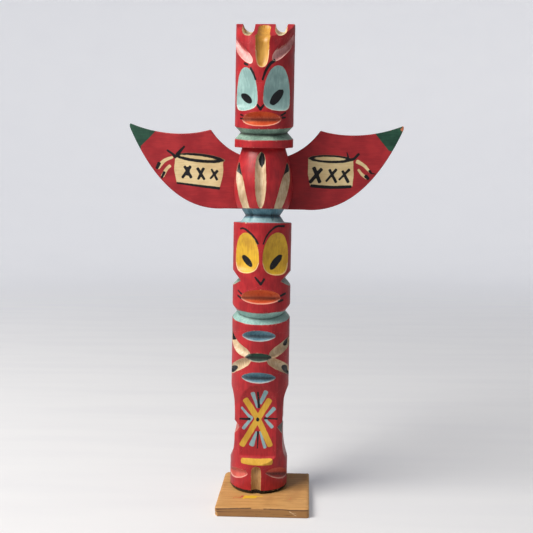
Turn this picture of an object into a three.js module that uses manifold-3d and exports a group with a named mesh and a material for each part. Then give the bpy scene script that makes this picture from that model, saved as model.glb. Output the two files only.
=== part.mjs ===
// Carved souvenir totem pole: a hand-painted wooden dowel on a small base plate, with one
// wing board let into a dado across its back. Millimetres, +Z up, the carved faces look to -Y.
// The origin is the centre of the object's box, on the plane it stands on.
import * as THREE from 'three';
import { mergeVertices } from 'three/addons/utils/BufferGeometryUtils.js';
import Module from 'manifold-3d';

// ---- driving dimensions -------------------------------------------------------------------
const DOWEL_RADIUS = 19;              // the pole is carved from a 38 mm dowel
const POLE_HEIGHT = 301.6;
const POLE_LEAN = 0.95;               // degrees, the pole stands a little out of plumb
const BASE_SIZE = { x: 58.4, y: 64.6, z: 5.8 };
const BASE_CORNER = 1.8;
const BASE_EDGE = 0.5;
const POLE_ON_BASE = { x: -4.7, y: 8.9 };   // foot of the pole from the middle of the base
const GLUE_GAP = 0.3;
const DOWEL_SIDES = 64;

// wing board
const WING_THICKNESS = 5.6;
const WING_BACK = 18.5;               // its back face, behind the pole's axis
const WING_TIP = { x: 91.4, z: 238.9, blunt: 1.1 };
const WING_SHOULDER = { x: 37.4, z: 236.2 };
const WING_SWEEP = { radius: 44, z: 260.8 };  // round cut between the shoulders
const WING_SEAT = 14;                 // half-width of the flat in the middle of that cut
const WING_BELLY = { x: 27, z: 184 };

// waist: the dowel is cut flatter on both sides and in front, between foot and belt
const WAIST = { top: 68.5, bottom: 19.7, half: 15.6, power: 4.5 };
const PANEL = { top: 72.2, flat: 59, ledge: 24.2, foot: 19.2, reach: 14.7 };

// crown
const BEVEL = { start: -2.7, drop: 11.3 };          // slanting front of the top
const CROWN_NOTCH = { radius: 3.9, floor: 291.5, rise: 16 };

// turned shape of the pole, foot to top: height, radius, tilt of the ring towards the front
const RINGS = [
  [-1.0, 17.6, 0], [0.3, 17.6, 0], [1.9, 19.0, 0],                         // foot
  [74.0, 19.0, 0], [113.6, 19.0, 0.16],                                    // belly
  [117.6, 15.2, 0.25], [122.7, 19.0, 0.25],                                // neck under the chin
  [150.0, 19.0, 0], [175.5, 19.0, 0], [175.9, 14.2, 0],                    // lower head
  [180.0, 11.3, 0], [184.2, 14.0, 0],                                      // neck between the figures
  [184.5, 16.5, 0], [187.6, 17.5, 0], [191.5, 18.4, 0], [198.0, 19.0, 0],  // torso
  [205.5, 18.6, 0], [210.5, 17.3, 0], [216.5, 16.1, 0], [221.4, 14.8, 0], [223.6, 14.1, 0],
  [224.2, 19.0, 0.11], [229.4, 19.0, 0.15],                                // collar
  [233.6, 15.1, 0.21], [237.6, 19.0, 0.21],                                // neck under the upper head
  [262.0, 19.0, 0], [POLE_HEIGHT, 19.0, 0],                                // upper head
];

// knife cuts straight across the dowel: azimuth from the front, height of the crease, distance
// of the crease from the axis, and how far the lips stand above and below it
const NOTCHES = [
  { azimuth: -3, z: 240.3, reach: 14.7, up: 4.1, down: 4.5 },              // upper mouth
  { azimuth: 1.5, z: 128.0, reach: 14.2, up: 5.0, down: 3.9 },             // lower mouth
  { azimuth: -90, z: 138.4, reach: 14.0, up: 6.0, down: 3.9 },             // cheeks
  { azimuth: 90, z: 138.4, reach: 14.0, up: 6.0, down: 3.9 },
  { azimuth: -0.5, z: 103.0, reach: 15.7, up: 4.2, down: 3.2 },            // belly slots
  { azimuth: -1, z: 89.8, reach: 16.8, up: 3.0, down: 3.2 },
  { azimuth: 0, z: 75.7, reach: 15.4, up: 4.3, down: 2.7 },
  { azimuth: -90, z: 43.6, reach: 13.6, up: 6.0, down: 13.0 },             // nicks in the waist
  { azimuth: 90, z: 43.6, reach: 13.6, up: 6.0, down: 13.0 },
  { azimuth: -49, z: 12.8, reach: 16.5, up: 3.4, down: 4.0 },              // toes
  { azimuth: 47, z: 12.8, reach: 16.4, up: 4.2, down: 3.4 },
];

// spoon-shaped gouge cuts: azimuth, height of the deepest point, reach of the outline up, down
// and to each side of it, depth, bulge of the tool, and turn of the stroke from upright
const SCOOPS = [
  { azimuth: -38, z: 252.2, up: 20.0, down: 6.7, half: 8.9, depth: 3.0, bulge: 8, turn: 0 },    // upper eyes
  { azimuth: 31, z: 252.6, up: 20.6, down: 7.3, half: 9.5, depth: 3.3, bulge: 8, turn: 0 },
  { azimuth: -31, z: 152.6, up: 16.3, down: 9.5, half: 9.0, depth: 3.0, bulge: 8, turn: 0 },    // lower eyes
  { azimuth: 35, z: 152.6, up: 16.8, down: 10.6, half: 9.6, depth: 3.4, bulge: 8, turn: 0 },
  { azimuth: -53, z: 283.6, up: 12.3, down: 12.3, half: 3.3, depth: 3.2, bulge: 4, turn: -52 }, // crest feathers
  { azimuth: 48, z: 286.0, up: 12.5, down: 12.5, half: 3.6, depth: 3.2, bulge: 4, turn: 48 },
  { azimuth: -3, z: 285.0, up: 22.0, down: 13.7, half: 4.3, depth: 2.7, bulge: 4, turn: 0 },
  { azimuth: -48, z: 96.9, up: 11.4, down: 11.4, half: 2.5, depth: 3.1, bulge: 4, turn: -56 },  // belly feathers
  { azimuth: 50, z: 95.3, up: 11.2, down: 11.2, half: 2.6, depth: 3.1, bulge: 4, turn: 62 },
  { azimuth: -48, z: 82.7, up: 11.2, down: 11.2, half: 2.5, depth: 3.1, bulge: 4, turn: 57 },
  { azimuth: 50, z: 82.2, up: 11.4, down: 11.4, half: 2.6, depth: 3.1, bulge: 4, turn: -57 },
];

// straight round-nosed grooves: azimuth, heights of the ends, distance of the floor from the
// axis at the lower and upper end, radius of the tool, and sideways lean of the stroke
const GROOVES = [
  { azimuth: -2.5, from: 182.0, to: 214.5, floor: [15.9, 15.7], radius: 4.0, lean: 0 },  // torso feathers
  { azimuth: -44, from: 178.5, to: 209.5, floor: [15.0, 16.6], radius: 3.2, lean: -15 },
  { azimuth: 46, from: 178.5, to: 209.5, floor: [15.0, 16.6], radius: 3.2, lean: 15 },
  { azimuth: -1.3, from: -6.0, to: 14.9, floor: [16.4, 16.4], radius: 3.6, lean: 0 },    // between the feet
];

// ---- solids -------------------------------------------------------------------------------
const wasm = await Module();
wasm.setup();
const radians = THREE.MathUtils.degToRad;

function solid(geometry, matrix) {
  const bare = new THREE.BufferGeometry();
  bare.setAttribute('position', geometry.getAttribute('position').clone());
  if (geometry.index) bare.setIndex(geometry.index.clone());
  if (matrix) bare.applyMatrix4(matrix);
  const merged = mergeVertices(bare, 1e-4);
  const vertProperties = new Float32Array(merged.getAttribute('position').array);
  const triVerts = new Uint32Array(merged.index.array);
  return new wasm.Manifold(new wasm.Mesh({ numProp: 3, vertProperties, triVerts }));
}

function geometryOf(manifold) {
  const mesh = manifold.getMesh();
  const geometry = new THREE.BufferGeometry();
  geometry.setAttribute('position', new THREE.BufferAttribute(new Float32Array(mesh.vertProperties), 3));
  geometry.setIndex(new THREE.BufferAttribute(new Uint32Array(mesh.triVerts), 1));
  geometry.computeVertexNormals();
  return geometry;
}

// frame whose Y axis points outwards at an azimuth (0 = front), X sideways and Z up
function facing(azimuth, distance, z) {
  const turn = new THREE.Matrix4().makeRotationZ(Math.PI + radians(azimuth));
  return turn.multiply(new THREE.Matrix4().makeTranslation(0, distance, z));
}

// closed body of rings of sides around Z, each ring sheared towards the front by its tilt
function turnedBody(rings, sides) {
  const points = [];
  const faces = [];
  for (const [z, radius, tilt] of rings) {
    for (let i = 0; i < sides; i++) {
      const angle = (2 * Math.PI * i) / sides;
      const y = radius * Math.sin(angle);
      points.push(radius * Math.cos(angle), y, z + tilt * y);
    }
  }
  const top = rings.length * sides;
  points.push(0, 0, rings[0][0], 0, 0, rings[rings.length - 1][0]);
  for (let i = 0; i < sides; i++) {
    const next = (i + 1) % sides;
    faces.push(top, next, i, top + 1, top - sides + i, top - sides + next);
    for (let row = 0; row < top - sides; row += sides) {
      faces.push(row + i, row + next, row + sides + next, row + i, row + sides + next, row + sides + i);
    }
  }
  const geometry = new THREE.BufferGeometry();
  geometry.setAttribute('position', new THREE.Float32BufferAttribute(points, 3));
  geometry.setIndex(faces);
  return geometry;
}

// prism with an outline in (outwards, z), as wide as asked and centred
function bar(outline, width) {
  const geometry = new THREE.ExtrudeGeometry(new THREE.Shape(outline), { depth: width, bevelEnabled: false });
  geometry.translate(0, 0, -width / 2);
  const axes = new THREE.Matrix4().makeBasis(
    new THREE.Vector3(0, 1, 0), new THREE.Vector3(0, 0, 1), new THREE.Vector3(1, 0, 0));
  return geometry.applyMatrix4(axes);
}

function notch({ azimuth, z, reach, up, down }) {
  const depth = DOWEL_RADIUS - reach;
  const past = depth + 6;
  const outline = [
    new THREE.Vector2(0, 0),
    new THREE.Vector2(past, (-down * past) / depth),
    new THREE.Vector2(past, (up * past) / depth),
  ];
  return solid(bar(outline, 60), facing(azimuth, reach, z));
}

// half-axis of the tool that makes its outline end at a length along the dowel's surface
function toolAxis(length, sideways, depth, bulge) {
  const surface = Math.sqrt(DOWEL_RADIUS ** 2 - sideways ** 2) - DOWEL_RADIUS;
  return length / Math.sqrt(1 - ((surface + depth - bulge) / bulge) ** 2);
}

function scoop({ azimuth, z, up, down, half, depth, bulge, turn }) {
  const across = Math.abs(Math.sin(radians(turn)));
  const along = Math.cos(radians(turn));
  const upper = toolAxis(up, up * across, depth, bulge);
  const lower = toolAxis(down, down * across, depth, bulge);
  const side = toolAxis(half, half * along, depth, bulge);
  const geometry = new THREE.SphereGeometry(1, 24, 16);
  const position = geometry.getAttribute('position');
  for (let i = 0; i < position.count; i++) {
    const height = position.getZ(i);
    position.setXYZ(i, position.getX(i) * side, position.getY(i) * bulge, height * (height > 0 ? upper : lower));
  }
  geometry.rotateY(radians(-turn));
  return solid(geometry, facing(azimuth, DOWEL_RADIUS - depth + bulge, z));
}

function groove({ azimuth, from, to, floor, radius, lean }) {
  const height = to - from;
  const inwards = Math.atan2(floor[1] - floor[0], height);
  const geometry = new THREE.CapsuleGeometry(radius, height, 6, 24);
  geometry.rotateX(Math.PI / 2 - inwards);
  geometry.rotateY(radians(-lean));
  const middle = (floor[0] + floor[1]) / 2 + radius;
  return solid(geometry, facing(azimuth, middle, (from + to) / 2));
}

// ---- the carved pole ----------------------------------------------------------------------
function waistOutline() {
  const middle = (WAIST.top + WAIST.bottom) / 2;
  const reach = (WAIST.top - WAIST.bottom) / 2;
  const outline = [];
  for (let step = -8; step <= 8; step++) {
    const share = (step / 8) * 1.02;
    const half = WAIST.half + (DOWEL_RADIUS - WAIST.half) * Math.abs(share) ** WAIST.power;
    outline.push(new THREE.Vector2(half, middle + reach * share));
  }
  outline.push(new THREE.Vector2(DOWEL_RADIUS + 5, WAIST.top + 1));
  outline.push(new THREE.Vector2(DOWEL_RADIUS + 5, WAIST.bottom - 1));
  return outline;
}

function panelOutline() {
  const outline = [new THREE.Vector2(DOWEL_RADIUS + 0.3, PANEL.foot), new THREE.Vector2(PANEL.reach, PANEL.ledge)];
  for (let step = 0; step <= 6; step++) {
    const share = step / 6;
    const out = PANEL.reach + (DOWEL_RADIUS + 0.2 - PANEL.reach) * share ** 1.7;
    outline.push(new THREE.Vector2(out, PANEL.flat + (PANEL.top - PANEL.flat) * share));
  }
  outline.push(new THREE.Vector2(DOWEL_RADIUS + 5, PANEL.top + 1));
  outline.push(new THREE.Vector2(DOWEL_RADIUS + 5, PANEL.foot - 1));
  return outline;
}

function crownNotch(side) {
  const { radius, floor, rise } = CROWN_NOTCH;
  const outline = new THREE.Shape();
  outline.moveTo(-radius, 30);
  outline.lineTo(-radius, radius);
  outline.absarc(0, radius, radius, Math.PI, 2 * Math.PI, false);
  outline.lineTo(radius, 30);
  const geometry = new THREE.ExtrudeGeometry(outline, { depth: 60, bevelEnabled: false, curveSegments: 12 });
  geometry.translate(0, 0, -30);
  geometry.rotateX(Math.PI / 2 + radians(rise));
  const centre = side * 0.55 * DOWEL_RADIUS;
  const front = Math.sqrt(DOWEL_RADIUS ** 2 - centre ** 2);
  return solid(geometry, new THREE.Matrix4().makeTranslation(centre, 0, floor + front * Math.tan(radians(rise))));
}

function crownBevel() {
  const slope = BEVEL.drop / (DOWEL_RADIUS + BEVEL.start);
  const outline = [
    new THREE.Vector2(-BEVEL.start - 4, POLE_HEIGHT + 4 * slope),
    new THREE.Vector2(DOWEL_RADIUS + 4, POLE_HEIGHT - BEVEL.drop - 4 * slope),
    new THREE.Vector2(DOWEL_RADIUS + 4, POLE_HEIGHT + 20),
    new THREE.Vector2(-BEVEL.start - 4, POLE_HEIGHT + 20),
  ];
  return solid(bar(outline, 60), facing(0, 0, 0));
}

// the crest feather in the middle runs on up the slanting front of the crown
function crownGroove() {
  const radius = 5.2;
  const depth = 2.6;
  const slope = Math.atan2(BEVEL.drop, DOWEL_RADIUS + BEVEL.start);
  const geometry = new THREE.CapsuleGeometry(radius, 40, 6, 24);
  geometry.rotateX(-slope);
  const away = radius - depth;
  const middle = (DOWEL_RADIUS - BEVEL.start) / 2 - 2;
  const height = POLE_HEIGHT - Math.tan(slope) * (middle + BEVEL.start);
  return solid(geometry, facing(-2, 0, 0).multiply(new THREE.Matrix4().makeTranslation(
    0, middle + away * Math.sin(slope), height + away * Math.cos(slope))));
}

function wingDado() {
  const front = WING_BACK - WING_THICKNESS - GLUE_GAP;
  const seat = WING_SWEEP.z - Math.sqrt(WING_SWEEP.radius ** 2 - WING_SEAT ** 2) + GLUE_GAP;
  const low = 181;
  const box = new THREE.BoxGeometry(60, 20, seat - low);
  return solid(box, new THREE.Matrix4().makeTranslation(0, front + 10, (seat + low) / 2));
}

function footCut() {
  const box = new THREE.BoxGeometry(80, 80, 20);
  box.translate(0, 0, -10 + GLUE_GAP);
  return solid(box, new THREE.Matrix4().makeRotationY(radians(-POLE_LEAN)));
}

function carvedPole() {
  const waistSides = [-90, 90].map((azimuth) => solid(bar(waistOutline(), 60), facing(azimuth, 0, 0)));
  const panel = solid(bar(panelOutline(), 60), facing(0, 0, 0));
  const cuts = [
    ...waistSides, panel, crownBevel(), crownGroove(), crownNotch(-1), crownNotch(1),
    ...NOTCHES.map(notch), ...SCOOPS.map(scoop), ...GROOVES.map(groove), wingDado(), footCut(),
  ];
  return cuts.reduce((body, cut) => body.subtract(cut), solid(turnedBody(RINGS, DOWEL_SIDES)));
}

// ---- the wing board -----------------------------------------------------------------------
// one half from the seat out over the shoulder to the tip, and back along the belly
function halfWing() {
  const sweep = WING_SWEEP;
  const first = Math.asin(WING_SEAT / sweep.radius);
  const last = Math.asin((WING_SHOULDER.x - 0.8) / sweep.radius);
  const points = [];
  for (let step = 0; step <= 10; step++) {
    const angle = first + ((last - first) * step) / 10;
    points.push(new THREE.Vector2(sweep.radius * Math.sin(angle), sweep.z - sweep.radius * Math.cos(angle)));
  }
  const leading = new THREE.CubicBezierCurve(
    new THREE.Vector2(WING_SHOULDER.x, WING_SHOULDER.z), new THREE.Vector2(56, 231),
    new THREE.Vector2(76, 234), new THREE.Vector2(WING_TIP.x - 0.6, WING_TIP.z + WING_TIP.blunt));
  const belly = new THREE.CubicBezierCurve(
    new THREE.Vector2(WING_TIP.x, WING_TIP.z - WING_TIP.blunt), new THREE.Vector2(80, 212),
    new THREE.Vector2(60, 181.5), new THREE.Vector2(WING_BELLY.x, WING_BELLY.z));
  return [...points, ...leading.getPoints(12), ...belly.getPoints(16)];
}

function wingBoard() {
  const right = halfWing();
  const left = right.map((point) => new THREE.Vector2(-point.x, point.y)).reverse();
  const geometry = new THREE.ExtrudeGeometry(
    new THREE.Shape([...right, ...left]), { depth: WING_THICKNESS, bevelEnabled: false });
  geometry.rotateX(Math.PI / 2);
  return geometry.translate(0, WING_BACK, 0);
}

// ---- assembly -----------------------------------------------------------------------------
const redPaint = new THREE.MeshStandardMaterial({ color: 0xb8323c, roughness: 0.35, metalness: 0 });
const wingPaint = new THREE.MeshStandardMaterial({ color: 0xa33a42, roughness: 0.5, metalness: 0 });
const bareWood = new THREE.MeshStandardMaterial({ color: 0xc8965a, roughness: 0.6, metalness: 0 });

const pole = new THREE.Mesh(geometryOf(carvedPole()), redPaint);
pole.name = 'carved_pole';

const wings = new THREE.Mesh(wingBoard(), wingPaint);
wings.name = 'wing_board';

const leaning = new THREE.Group();
leaning.rotation.y = radians(POLE_LEAN);
leaning.position.set(POLE_ON_BASE.x, POLE_ON_BASE.y, BASE_SIZE.z);
leaning.add(pole, wings);

function baseOutline() {
  const x = BASE_SIZE.x / 2 - BASE_EDGE;
  const y = BASE_SIZE.y / 2 - BASE_EDGE;
  const r = BASE_CORNER;
  const shape = new THREE.Shape();
  shape.absarc(x - r, y - r, r, 0, Math.PI / 2, false);
  shape.absarc(-x + r, y - r, r, Math.PI / 2, Math.PI, false);
  shape.absarc(-x + r, -y + r, r, Math.PI, 1.5 * Math.PI, false);
  shape.absarc(x - r, -y + r, r, 1.5 * Math.PI, 2 * Math.PI, false);
  return shape;
}

const baseGeometry = new THREE.ExtrudeGeometry(baseOutline(), {
  depth: BASE_SIZE.z - 2 * BASE_EDGE, bevelThickness: BASE_EDGE, bevelSize: BASE_EDGE, bevelSegments: 1, curveSegments: 5,
});
baseGeometry.translate(0, 0, BASE_EDGE);
const base = new THREE.Mesh(baseGeometry, bareWood);
base.name = 'base_plate';

const totem = new THREE.Group();
totem.add(leaning, base);
totem.updateMatrixWorld(true);
const box = new THREE.Box3().setFromObject(totem, true);
const origin = box.getCenter(new THREE.Vector3()).setZ(box.min.z);
const model = new THREE.Group();
totem.position.sub(origin);
model.add(totem);

export default model;
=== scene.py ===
import math

import bpy
import numpy as np
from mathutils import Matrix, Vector, noise


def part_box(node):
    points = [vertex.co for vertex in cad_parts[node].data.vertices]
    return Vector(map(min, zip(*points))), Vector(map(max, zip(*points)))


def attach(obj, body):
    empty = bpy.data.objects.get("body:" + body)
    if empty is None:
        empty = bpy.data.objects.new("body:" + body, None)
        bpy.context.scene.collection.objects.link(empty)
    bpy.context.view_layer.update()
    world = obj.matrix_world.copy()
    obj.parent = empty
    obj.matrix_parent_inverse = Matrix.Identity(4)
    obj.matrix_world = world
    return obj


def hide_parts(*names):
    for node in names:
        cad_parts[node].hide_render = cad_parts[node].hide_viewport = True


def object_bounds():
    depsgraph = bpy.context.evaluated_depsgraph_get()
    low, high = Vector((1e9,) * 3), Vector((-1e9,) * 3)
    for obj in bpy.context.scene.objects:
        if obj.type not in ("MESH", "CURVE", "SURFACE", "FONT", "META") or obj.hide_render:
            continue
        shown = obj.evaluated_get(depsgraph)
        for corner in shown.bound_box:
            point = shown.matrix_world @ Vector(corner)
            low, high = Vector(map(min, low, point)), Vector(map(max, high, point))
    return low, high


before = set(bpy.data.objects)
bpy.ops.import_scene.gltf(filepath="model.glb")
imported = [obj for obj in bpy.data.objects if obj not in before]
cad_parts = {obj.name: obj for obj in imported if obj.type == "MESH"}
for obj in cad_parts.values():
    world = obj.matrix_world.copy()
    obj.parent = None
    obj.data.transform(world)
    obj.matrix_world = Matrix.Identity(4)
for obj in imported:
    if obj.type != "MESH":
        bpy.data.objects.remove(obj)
cad_box = [list(corner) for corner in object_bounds()]

# ---- the table and the light ----------------------------------------------------------------
# The pole stands on a pale table that sweeps up far behind it. A large soft light hangs high on
# the left in front, a weak cool one fills the right, and the camera looks slightly down.
MM = 0.001
FOOT_ON_BASE = Vector((-4.7, 8.9, 0.0)) * MM
base_low, base_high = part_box("base_plate")
base_middle = (base_low + base_high) / 2
pole_foot = Vector((base_middle.x, base_middle.y, base_high.z)) + FOOT_ON_BASE

CAMERA_LENS = 50.86
CAMERA_DISTANCE = 493 * MM
CAMERA_HEIGHT = 184 * MM
CAMERA_SIDE = math.radians(3.83)
CAMERA_TURN = math.radians(3.2)
CAMERA_PITCH = math.radians(4.36)

TABLE_RADIUS = 1.5
SWEEP_RADIUS = 0.6
SWEEP_HEIGHT = 2.4
TABLE_SIDES = 96

KEY_PLACE = Vector((-0.78, -0.50, 1.12))
KEY_SIZE = 0.95
KEY_POWER = 28.0
FILL_PLACE = Vector((1.05, -0.75, 0.45))
FILL_SIZE = 0.9
FILL_POWER = 0.6
ROOM_LIGHT = 0.2
NEAR_GLOW = 0.22
WALL_GLOW = 0.55         # how much the far table and wall glow, so that they stay pale in the low light


def colour(red, green, blue):
    """Linear colour of a display colour with channels from 0 to 255."""
    channels = []
    for value in (red, green, blue):
        share = value / 255
        channels.append(share / 12.92 if share <= 0.04045 else ((share + 0.055) / 1.055) ** 2.4)
    return (*channels, 1.0)


def add(tree, kind, inputs=None, **settings):
    """A new shader node with its settings made and its inputs set or linked."""
    made = tree.nodes.new("ShaderNode" + kind)
    for name, value in settings.items():
        setattr(made, name, value)
    for name, value in (inputs or {}).items():
        if isinstance(value, bpy.types.NodeSocket):
            tree.links.new(value, made.inputs[name])
        else:
            made.inputs[name].default_value = value
    return made


def new_material(name):
    """An empty node material and its tree."""
    material = bpy.data.materials.new(name)
    material.use_nodes = True
    material.node_tree.nodes.clear()
    return material, material.node_tree


def finish_material(tree, inputs, **settings):
    """Ends a material's tree in one Principled surface."""
    surface = add(tree, "BsdfPrincipled", inputs, **settings)
    add(tree, "OutputMaterial", {"Surface": surface.outputs["BSDF"]})


def mix(tree, share, under, over, blend="MIX"):
    """The colour over laid on the colour under by a share."""
    made = add(tree, "Mix", {0: share, 6: under, 7: over}, data_type="RGBA", blend_type=blend)
    return made.outputs[2]


def maths(tree, operation, first, second=0.0, third=0.0):
    """The result of a sum on numbers or sockets."""
    made = add(tree, "Math", {0: first, 1: second, 2: third}, operation=operation)
    return made.outputs[0]


def spread(tree, value, low, high, to_low=0.0, to_high=1.0):
    """A value from low to high eased into another range."""
    inputs = {0: value, 1: low, 2: high, 3: to_low, 4: to_high}
    return add(tree, "MapRange", inputs, interpolation_type="SMOOTHSTEP").outputs[0]


def speckle(tree, place, size, detail=3.0, stretch=(1.0, 1.0, 1.0)):
    """Noise from 0 to 1 whose patches are about size metres across, stretched along the axes."""
    scaled = add(tree, "VectorMath", {0: place, 1: stretch}, operation="MULTIPLY")
    made = add(tree, "TexNoise", {"Vector": scaled.outputs[0], "Scale": 1 / size, "Detail": detail})
    return made.outputs["Fac"]


def object_place(tree):
    """Places on the object, in metres."""
    return add(tree, "TexCoord").outputs["Object"]


scene = bpy.context.scene
scene.view_settings.view_transform = "Standard"
camera = bpy.data.objects.new("camera", bpy.data.cameras.new("camera"))
scene.collection.objects.link(camera)
camera.data.lens = CAMERA_LENS
camera.data.clip_start = 0.02
camera.location = pole_foot + Vector((
    CAMERA_DISTANCE * math.sin(CAMERA_SIDE), -CAMERA_DISTANCE * math.cos(CAMERA_SIDE), CAMERA_HEIGHT))
camera.rotation_euler = (math.pi / 2 - CAMERA_PITCH, 0.0, CAMERA_TURN)
scene.camera = camera


def soft_light(name, place, size, power, tint):
    """A round soft lamp that points at the middle of the pole."""
    lamp = bpy.data.lights.new(name, "AREA")
    lamp.shape = "DISK"
    lamp.size = size
    lamp.energy = power
    lamp.color = tint
    holder = bpy.data.objects.new(name, lamp)
    scene.collection.objects.link(holder)
    holder.location = place
    aim = Vector((0.0, 0.0, cad_box[1][2] / 2)) - place
    holder.rotation_euler = aim.to_track_quat("-Z", "Y").to_euler()


soft_light("key_light", KEY_PLACE, KEY_SIZE, KEY_POWER, (1.0, 0.955, 0.895))
soft_light("fill_light", FILL_PLACE, FILL_SIZE, FILL_POWER, (0.86, 0.9, 1.0))

world = bpy.data.worlds.new("room")
world.use_nodes = True
world.node_tree.nodes["Background"].inputs["Color"].default_value = (0.80, 0.84, 1.0, 1.0)
world.node_tree.nodes["Background"].inputs["Strength"].default_value = ROOM_LIGHT
scene.world = world


def table_profile():
    """Radius and height of the table top and the wall that it sweeps up into."""
    profile = [(0.05, 0.0), (0.6, 0.0), (TABLE_RADIUS, 0.0)]
    for step in range(1, 13):
        turn = math.pi / 2 * step / 12
        profile.append((TABLE_RADIUS + SWEEP_RADIUS * math.sin(turn), SWEEP_RADIUS * (1 - math.cos(turn))))
    return profile + [(TABLE_RADIUS + SWEEP_RADIUS, SWEEP_HEIGHT)]


def table_mesh():
    """The table top and its sweep as rings round the middle."""
    points = [(0.0, 0.0, 0.0)]
    faces = []
    for radius, height in table_profile():
        for side in range(TABLE_SIDES):
            turn = 2 * math.pi * side / TABLE_SIDES
            points.append((radius * math.cos(turn), radius * math.sin(turn), height))
    for side in range(TABLE_SIDES):
        after = (side + 1) % TABLE_SIDES
        faces.append((0, 1 + side, 1 + after))
        for ring in range(len(table_profile()) - 1):
            low = 1 + ring * TABLE_SIDES
            high = low + TABLE_SIDES
            faces.append((low + side, high + side, high + after, low + after))
    mesh = bpy.data.meshes.new("table")
    mesh.from_pydata(points, [], faces)
    mesh.shade_smooth()
    return mesh


table = bpy.data.objects.new("table", table_mesh())
scene.collection.objects.link(table)
table_paint, table_tree = new_material("table_white")
table_place = object_place(table_tree)
table_grain = speckle(table_tree, table_place, 0.03, 4.0, (0.12, 1.0, 1.0))
table_grain = spread(table_tree, table_grain, 0.35, 0.7)
table_colour = mix(table_tree, table_grain, colour(206, 207, 208), colour(202, 203, 205))
table_far = add(table_tree, "VectorMath", {0: table_place}, operation="LENGTH").outputs["Value"]
table_glow = maths(table_tree, "MULTIPLY", add(table_tree, "LightPath").outputs["Is Camera Ray"],
                   spread(table_tree, table_far, 0.1, 1.9, NEAR_GLOW, WALL_GLOW))
finish_material(table_tree, {
    "Base Color": table_colour, "Roughness": 0.6, "Emission Color": colour(226, 228, 236),
    "Emission Strength": table_glow})
table.data.materials.append(table_paint)

# ---- the carved pole ------------------------------------------------------------------------
# One 38 mm dowel cut with knife and gouges into two heads, a torso and a belly on two feet,
# then painted: glossy red all over, the cuts filled with colour, and the drawing in black.
RADIUS = 19.0
HEIGHT = 301.6
LEAN = math.radians(0.95)
JOINT_GAP = 0.3
FRONT_REACH = 64         # degrees of the finely divided front, to either side
SIDE_REACH = 104
ROW_STEP = 0.72

TORSO = {"low": 184.5, "widest": 198.0, "top": 223.6, "low_drop": 2.5, "top_drop": 4.9, "top_power": 1.7}
# height, radius and tilt towards the front of the rings that the dowel is turned and cut to
LOWER_RINGS = [
    (0.0, 17.6, 0), (0.3, 17.9, 0), (1.9, 19.0, 0), (74.0, 19.0, 0), (113.2, 19.0, 0.16), (113.6, 18.8, 0.16),
    (117.6, 15.2, 0.25), (122.6, 18.8, 0.25), (122.9, 19.0, 0.25), (150.0, 19.0, 0),
    (175.1, 19.0, 0), (175.5, 18.7, 0), (175.9, 14.2, 0), (180.0, 11.3, 0), (184.2, 14.0, 0),
]
UPPER_RINGS = [
    (224.0, 18.7, 0.11), (224.4, 19.0, 0.11), (229.2, 19.0, 0.15), (229.5, 18.8, 0.15), (233.6, 15.1, 0.21),
    (237.5, 18.8, 0.21), (237.8, 19.0, 0.21), (262.0, 19.0, 0), (HEIGHT - 0.4, 19.0, 0), (HEIGHT, 18.7, 0),
]
WAIST = {"top": 68.5, "bottom": 19.7, "half": 15.6, "power": 4.5}
PANEL = {"top": 72.2, "flat": 59, "ledge": 24.2, "foot": 19.2, "reach": 14.7, "power": 1.7}
BEVEL = {"start": -2.7, "drop": 11.3}
CROWN_GROOVE = {"azimuth": -1.5, "radius": 5.0, "depth": 1.9, "upper_end": 7.2, "length": 26, "blend": 2.6}
CROWN_NOTCH = {"radius": 3.9, "floor": 291.5, "rise": math.radians(16), "out": 0.55 * RADIUS}
CROWN_LOW = 272.0        # above this height the crown is carved towards a point inside it
CROWN_INNER = 11.4
DADO = {"front": 12.6, "low": 181.0, "high": 219.4}

# knife cuts: azimuth, height of the crease, its distance from the axis, lips above and below,
# how round the cut is (1 is a plain V, less than 1 is rounder) and how far it is tilted
NOTCHES = {
    "upper_mouth": (-3.5, 240.4, 14.5, 4.1, 4.9, 0.5, 0),
    "lower_mouth": (1.7, 127.6, 14.2, 5.4, 3.8, 0.5, 0),
    "left_cheek": (-84, 138.4, 14.0, 6.0, 3.9, 1, 0),
    "right_cheek": (85, 138.4, 14.0, 6.0, 3.9, 1, 0),
    "upper_slot": (-1.0, 103.1, 15.6, 3.8, 3.2, 0.66, 0),
    "middle_slot": (-1, 89.5, 16.9, 2.9, 2.9, 0.6, 0),
    "lower_slot": (-0.4, 76.0, 15.4, 3.9, 3.1, 0.66, 0),
    "left_nick": (-84, 43.6, 13.2, 5.0, 10.0, 1, 0),
    "right_nick": (87, 43.6, 13.1, 5.0, 10.0, 1, 0),
    "left_toes": (-49, 11.9, 16.4, 3.4, 3.4, 0.6, 8),
    "right_toes": (50, 11.8, 15.9, 4.4, 3.0, 0.7, -13),
}
# gouge cuts: azimuth, height, reach up and down, half-width, depth, bulge of the tool, turn
SCOOPS = {
    "upper_left_eye": (-38, 252.2, 20.0, 5.9, 8.9, 3.0, 8, 0),
    "upper_right_eye": (31, 252.6, 20.6, 6.4, 9.5, 3.3, 8, 0),
    "lower_left_eye": (-31, 152.6, 16.3, 8.2, 9.0, 3.0, 8, 0),
    "lower_right_eye": (35, 152.6, 16.8, 9.3, 9.6, 3.4, 8, 0),
    "left_crest": (-53, 283.6, 12.3, 12.3, 3.3, 3.2, 4, -52),
    "right_crest": (48, 286.0, 12.5, 12.5, 3.6, 3.2, 4, 48),
    "middle_crest": (-2.6, 285.0, 26.0, 12.9, 4.3, 2.7, 4, 0),
}
# round-nosed grooves: azimuth, heights of the ends, floor at each end, radius, sideways lean
GROOVES = {
    "between_feet": (-1.6, -6.0, 15.2, 16.4, 16.4, 3.3, 0),
}
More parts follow.
